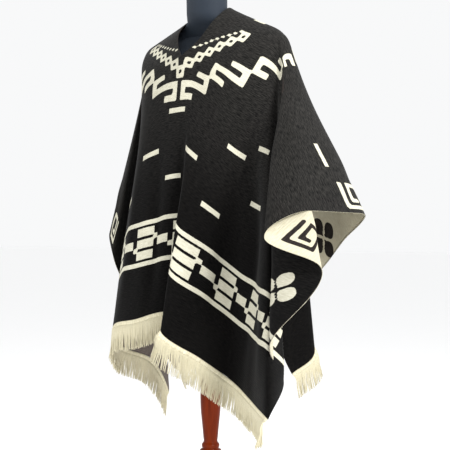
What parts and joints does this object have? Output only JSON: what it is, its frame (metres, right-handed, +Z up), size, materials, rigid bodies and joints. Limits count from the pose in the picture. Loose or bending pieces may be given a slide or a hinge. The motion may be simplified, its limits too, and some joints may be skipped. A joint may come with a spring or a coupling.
{
  "type": "serape poncho worn on a limbless dress form with a turned wooden stand",
  "caption": "Hand-woven rectangular serape poncho with a V neck slit, open sides and fringed hems, draped on a limbless dress form on a turned wooden post and round base",
  "frame": {"origin": "centre of the round base's underside, on the floor under the post", "axes": "+X is the wearer's left, +Y the wearer's back (the open V faces -Y), +Z up"},
  "size_m": [0.8311, 0.6255, 1.536],
  "materials": {
    "poncho_wool": "matt hand-woven wool, charcoal ground with cream motifs, colours reversed on the inside",
    "fringe_wool": "cream twisted wool yarn",
    "form_cover": "smooth dark navy jersey cover",
    "stand_wood": "glossy reddish cherry varnish"
  },
  "bodies": {
    "root": {"poncho_cloth": "poncho_wool", "fringe_front": "fringe_wool", "fringe_back": "fringe_wool", "form_torso": "form_cover", "stand_post": "stand_wood", "stand_base": "stand_wood"}
  },
  "joints": []
}
